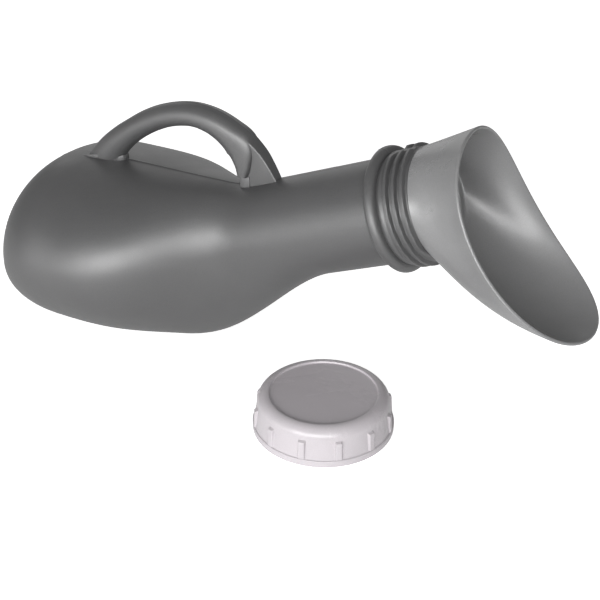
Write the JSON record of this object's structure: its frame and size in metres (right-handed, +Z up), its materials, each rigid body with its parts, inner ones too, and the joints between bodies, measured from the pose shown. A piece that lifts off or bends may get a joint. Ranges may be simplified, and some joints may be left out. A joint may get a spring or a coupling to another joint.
{
  "type": "urine bottle",
  "caption": "Portable hand-held urine bottle lying on its flat base, with a carrying handle, a push-in scoop adapter in its mouth and a loose ribbed screw cap beside it.",
  "frame": {"origin": "middle of the bottle's flat base, on the ground", "axes": "+X along the bottle towards its mouth, +Z up, Y=0 is the bottle's symmetry plane"},
  "size_m": [0.3189, 0.1508, 0.1405],
  "materials": {
    "bottle_plastic": "satin",
    "adapter_plastic": "satin",
    "cap_plastic": "gloss",
    "liner_foam": "matte"
  },
  "bodies": {
    "bottle": {"bottle_shell": "bottle_plastic"},
    "adapter": {"funnel_adapter": "adapter_plastic"},
    "liner": {"cap_liner": "liner_foam"},
    "cap": {"screw_cap": "cap_plastic"}
  },
  "joints": [
    {"name": "adapter_pull", "type": "slide", "parent": "bottle", "child": "adapter", "axis": [0.9272, 0, 0.3746], "range_m": [0, 0.06]},
    {"name": "cap_lift", "type": "slide", "parent": "bottle", "child": "liner", "axis": [0, 0, 1], "range_m": [0, 0.035]},
    {"name": "cap_turn", "type": "hinge", "parent": "liner", "child": "cap", "pos_m": [0.128, -0.052, 0], "axis": [0, 0, 1], "continuous": true}
  ]
}
